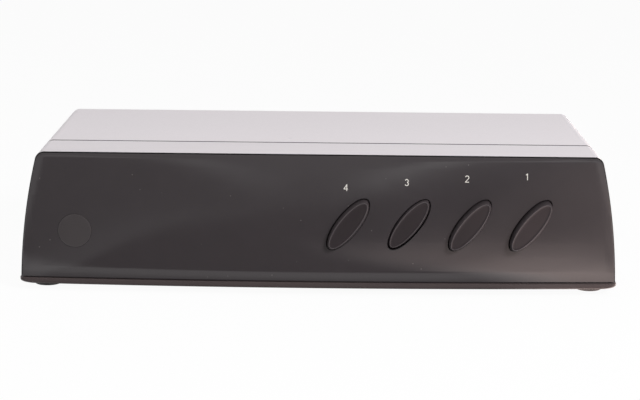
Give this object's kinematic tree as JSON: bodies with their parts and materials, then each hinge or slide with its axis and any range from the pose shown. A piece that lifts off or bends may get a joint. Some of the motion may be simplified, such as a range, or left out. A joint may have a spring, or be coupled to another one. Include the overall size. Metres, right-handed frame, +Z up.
{
  "type": "speaker selector switch",
  "caption": "Low desktop selector box with a row of oval push-push buttons on its bowed front and rows of sprung lever terminals for speaker wires on its back.",
  "frame": {"origin": "on the surface that the feet stand on, under the middle of the whole part's box", "axes": "+X to the right as seen from the front, +Y from the buttons to the terminals, +Z up"},
  "size_m": [0.251, 0.1442, 0.059],
  "materials": {
    "base_abs": "moulded ABS, fine satin texture",
    "cover_silver": "silver-grey satin paint on moulded ABS",
    "panel_abs": "moulded ABS, semi-gloss charcoal",
    "rear_abs": "moulded ABS, fine spark texture",
    "foot_rubber": "moulded rubber",
    "button_abs": "moulded ABS, satin",
    "plunger_nylon": "natural nylon",
    "spring_steel": "drawn spring wire",
    "switch_nylon": "black nylon",
    "board": "phenolic paper board",
    "terminal_abs": "moulded ABS",
    "contact_brass": "stamped brass strip",
    "lever_red": "moulded ABS, red",
    "lever_black": "moulded ABS, black",
    "screw_steel": "zinc-plated steel"
  },
  "bodies": {
    "case": {"bottom_tray": "base_abs", "top_cover": "cover_silver", "front_panel": "panel_abs", "rear_panel": "rear_abs", "blanking_plug": "panel_abs", "foot_front_left": "foot_rubber", "foot_front_right": "foot_rubber", "foot_rear_left": "foot_rubber", "foot_rear_right": "foot_rubber", "case_screws": "screw_steel", "board_screws": "screw_steel", "terminal_screws": "screw_steel", "circuit_board": "board", "return_spring_1": "spring_steel", "switch_body_1": "switch_nylon", "return_spring_2": "spring_steel", "switch_body_2": "switch_nylon", "return_spring_3": "spring_steel", "switch_body_3": "switch_nylon", "return_spring_4": "spring_steel", "switch_body_4": "switch_nylon", "terminal_block_amp": "terminal_abs", "terminal_contacts_amp": "contact_brass", "terminal_block_1": "terminal_abs", "terminal_contacts_1": "contact_brass", "terminal_block_2": "terminal_abs", "terminal_contacts_2": "contact_brass", "terminal_block_3": "terminal_abs", "terminal_contacts_3": "contact_brass", "terminal_block_4": "terminal_abs", "terminal_contacts_4": "contact_brass"},
    "button_1": {"button_1": "button_abs", "switch_plunger_1": "plunger_nylon"},
    "button_2": {"button_2": "button_abs", "switch_plunger_2": "plunger_nylon"},
    "button_3": {"button_3": "button_abs", "switch_plunger_3": "plunger_nylon"},
    "button_4": {"button_4": "button_abs", "switch_plunger_4": "plunger_nylon"},
    "lever_amp_left_minus": {"lever_amp_left_minus": "lever_black"},
    "lever_amp_left_plus": {"lever_amp_left_plus": "lever_red"},
    "lever_amp_right_minus": {"lever_amp_right_minus": "lever_black"},
    "lever_amp_right_plus": {"lever_amp_right_plus": "lever_red"},
    "lever_1_left_minus": {"lever_1_left_minus": "lever_black"},
    "lever_1_left_plus": {"lever_1_left_plus": "lever_red"},
    "lever_1_right_minus": {"lever_1_right_minus": "lever_black"},
    "lever_1_right_plus": {"lever_1_right_plus": "lever_red"},
    "lever_2_left_minus": {"lever_2_left_minus": "lever_black"},
    "lever_2_left_plus": {"lever_2_left_plus": "lever_red"},
    "lever_2_right_minus": {"lever_2_right_minus": "lever_black"},
    "lever_2_right_plus": {"lever_2_right_plus": "lever_red"},
    "lever_3_left_minus": {"lever_3_left_minus": "lever_black"},
    "lever_3_left_plus": {"lever_3_left_plus": "lever_red"},
    "lever_3_right_minus": {"lever_3_right_minus": "lever_black"},
    "lever_3_right_plus": {"lever_3_right_plus": "lever_red"},
    "lever_4_left_minus": {"lever_4_left_minus": "lever_black"},
    "lever_4_left_plus": {"lever_4_left_plus": "lever_red"},
    "lever_4_right_minus": {"lever_4_right_minus": "lever_black"},
    "lever_4_right_plus": {"lever_4_right_plus": "lever_red"}
  },
  "joints": [
    {"name": "button_1_push", "type": "slide", "parent": "case", "child": "button_1", "axis": [0, 1, 0], "range_m": [0, 0.005], "stiffness_N_per_m": 350, "springref_m": -0.003, "deforming": ["return_spring_1"]},
    {"name": "button_2_push", "type": "slide", "parent": "case", "child": "button_2", "axis": [0, 1, 0], "range_m": [0, 0.005], "stiffness_N_per_m": 350, "springref_m": -0.003, "deforming": ["return_spring_2"]},
    {"name": "button_3_push", "type": "slide", "parent": "case", "child": "button_3", "axis": [0, 1, 0], "range_m": [-0.004, 0.001], "stiffness_N_per_m": 350, "deforming": ["return_spring_3"]},
    {"name": "button_4_push", "type": "slide", "parent": "case", "child": "button_4", "axis": [0, 1, 0], "range_m": [0, 0.005], "stiffness_N_per_m": 350, "springref_m": -0.003, "deforming": ["return_spring_4"]},
    {"name": "lever_amp_left_minus_press", "type": "hinge", "parent": "case", "child": "lever_amp_left_minus", "pos_m": [0.07808, 0.059, 0.0392], "axis": [1, 0, 0], "range_deg": [-18, 0], "stiffness_Nm_per_rad": 0.05, "springref_deg": 11.46},
    {"name": "lever_amp_left_plus_press", "type": "hinge", "parent": "case", "child": "lever_amp_left_plus", "pos_m": [0.08668, 0.059, 0.0392], "axis": [1, 0, 0], "range_deg": [-18, 0], "stiffness_Nm_per_rad": 0.05, "springref_deg": 11.46},
    {"name": "lever_amp_right_minus_press", "type": "hinge", "parent": "case", "child": "lever_amp_right_minus", "pos_m": [0.09527, 0.059, 0.0392], "axis": [1, 0, 0], "range_deg": [-18, 0], "stiffness_Nm_per_rad": 0.05, "springref_deg": 11.46},
    {"name": "lever_amp_right_plus_press", "type": "hinge", "parent": "case", "child": "lever_amp_right_plus", "pos_m": [0.10387, 0.059, 0.0392], "axis": [1, 0, 0], "range_deg": [-18, 0], "stiffness_Nm_per_rad": 0.05, "springref_deg": 11.46},
    {"name": "lever_1_left_minus_press", "type": "hinge", "parent": "case", "child": "lever_1_left_minus", "pos_m": [0.03259, 0.059, 0.0392], "axis": [1, 0, 0], "range_deg": [-18, 0], "stiffness_Nm_per_rad": 0.05, "springref_deg": 11.46},
    {"name": "lever_1_left_plus_press", "type": "hinge", "parent": "case", "child": "lever_1_left_plus", "pos_m": [0.04119, 0.059, 0.0392], "axis": [1, 0, 0], "range_deg": [-18, 0], "stiffness_Nm_per_rad": 0.05, "springref_deg": 11.46},
    {"name": "lever_1_right_minus_press", "type": "hinge", "parent": "case", "child": "lever_1_right_minus", "pos_m": [0.04979, 0.059, 0.0392], "axis": [1, 0, 0], "range_deg": [-18, 0], "stiffness_Nm_per_rad": 0.05, "springref_deg": 11.46},
    {"name": "lever_1_right_plus_press", "type": "hinge", "parent": "case", "child": "lever_1_right_plus", "pos_m": [0.05838, 0.059, 0.0392], "axis": [1, 0, 0], "range_deg": [-18, 0], "stiffness_Nm_per_rad": 0.05, "springref_deg": 11.46},
    {"name": "lever_2_left_minus_press", "type": "hinge", "parent": "case", "child": "lever_2_left_minus", "pos_m": [-0.0129, 0.059, 0.0392], "axis": [1, 0, 0], "range_deg": [-18, 0], "stiffness_Nm_per_rad": 0.05, "springref_deg": 11.46},
    {"name": "lever_2_left_plus_press", "type": "hinge", "parent": "case", "child": "lever_2_left_plus", "pos_m": [-0.0043, 0.059, 0.0392], "axis": [1, 0, 0], "range_deg": [-18, 0], "stiffness_Nm_per_rad": 0.05, "springref_deg": 11.46},
    {"name": "lever_2_right_minus_press", "type": "hinge", "parent": "case", "child": "lever_2_right_minus", "pos_m": [0.0043, 0.059, 0.0392], "axis": [1, 0, 0], "range_deg": [-18, 0], "stiffness_Nm_per_rad": 0.05, "springref_deg": 11.46},
    {"name": "lever_2_right_plus_press", "type": "hinge", "parent": "case", "child": "lever_2_right_plus", "pos_m": [0.0129, 0.059, 0.0392], "axis": [1, 0, 0], "range_deg": [-18, 0], "stiffness_Nm_per_rad": 0.05, "springref_deg": 11.46},
    {"name": "lever_3_left_minus_press", "type": "hinge", "parent": "case", "child": "lever_3_left_minus", "pos_m": [-0.05838, 0.059, 0.0392], "axis": [1, 0, 0], "range_deg": [-18, 0], "stiffness_Nm_per_rad": 0.05, "springref_deg": 11.46},
    {"name": "lever_3_left_plus_press", "type": "hinge", "parent": "case", "child": "lever_3_left_plus", "pos_m": [-0.04979, 0.059, 0.0392], "axis": [1, 0, 0], "range_deg": [-18, 0], "stiffness_Nm_per_rad": 0.05, "springref_deg": 11.46},
    {"name": "lever_3_right_minus_press", "type": "hinge", "parent": "case", "child": "lever_3_right_minus", "pos_m": [-0.04119, 0.059, 0.0392], "axis": [1, 0, 0], "range_deg": [-18, 0], "stiffness_Nm_per_rad": 0.05, "springref_deg": 11.46},
    {"name": "lever_3_right_plus_press", "type": "hinge", "parent": "case", "child": "lever_3_right_plus", "pos_m": [-0.03259, 0.059, 0.0392], "axis": [1, 0, 0], "range_deg": [-18, 0], "stiffness_Nm_per_rad": 0.05, "springref_deg": 11.46},
    {"name": "lever_4_left_minus_press", "type": "hinge", "parent": "case", "child": "lever_4_left_minus", "pos_m": [-0.10387, 0.059, 0.0392], "axis": [1, 0, 0], "range_deg": [-18, 0], "stiffness_Nm_per_rad": 0.05, "springref_deg": 11.46},
    {"name": "lever_4_left_plus_press", "type": "hinge", "parent": "case", "child": "lever_4_left_plus", "pos_m": [-0.09527, 0.059, 0.0392], "axis": [1, 0, 0], "range_deg": [-18, 0], "stiffness_Nm_per_rad": 0.05, "springref_deg": 11.46},
    {"name": "lever_4_right_minus_press", "type": "hinge", "parent": "case", "child": "lever_4_right_minus", "pos_m": [-0.08668, 0.059, 0.0392], "axis": [1, 0, 0], "range_deg": [-18, 0], "stiffness_Nm_per_rad": 0.05, "springref_deg": 11.46},
    {"name": "lever_4_right_plus_press", "type": "hinge", "parent": "case", "child": "lever_4_right_plus", "pos_m": [-0.07808, 0.059, 0.0392], "axis": [1, 0, 0], "range_deg": [-18, 0], "stiffness_Nm_per_rad": 0.05, "springref_deg": 11.46}
  ]
}
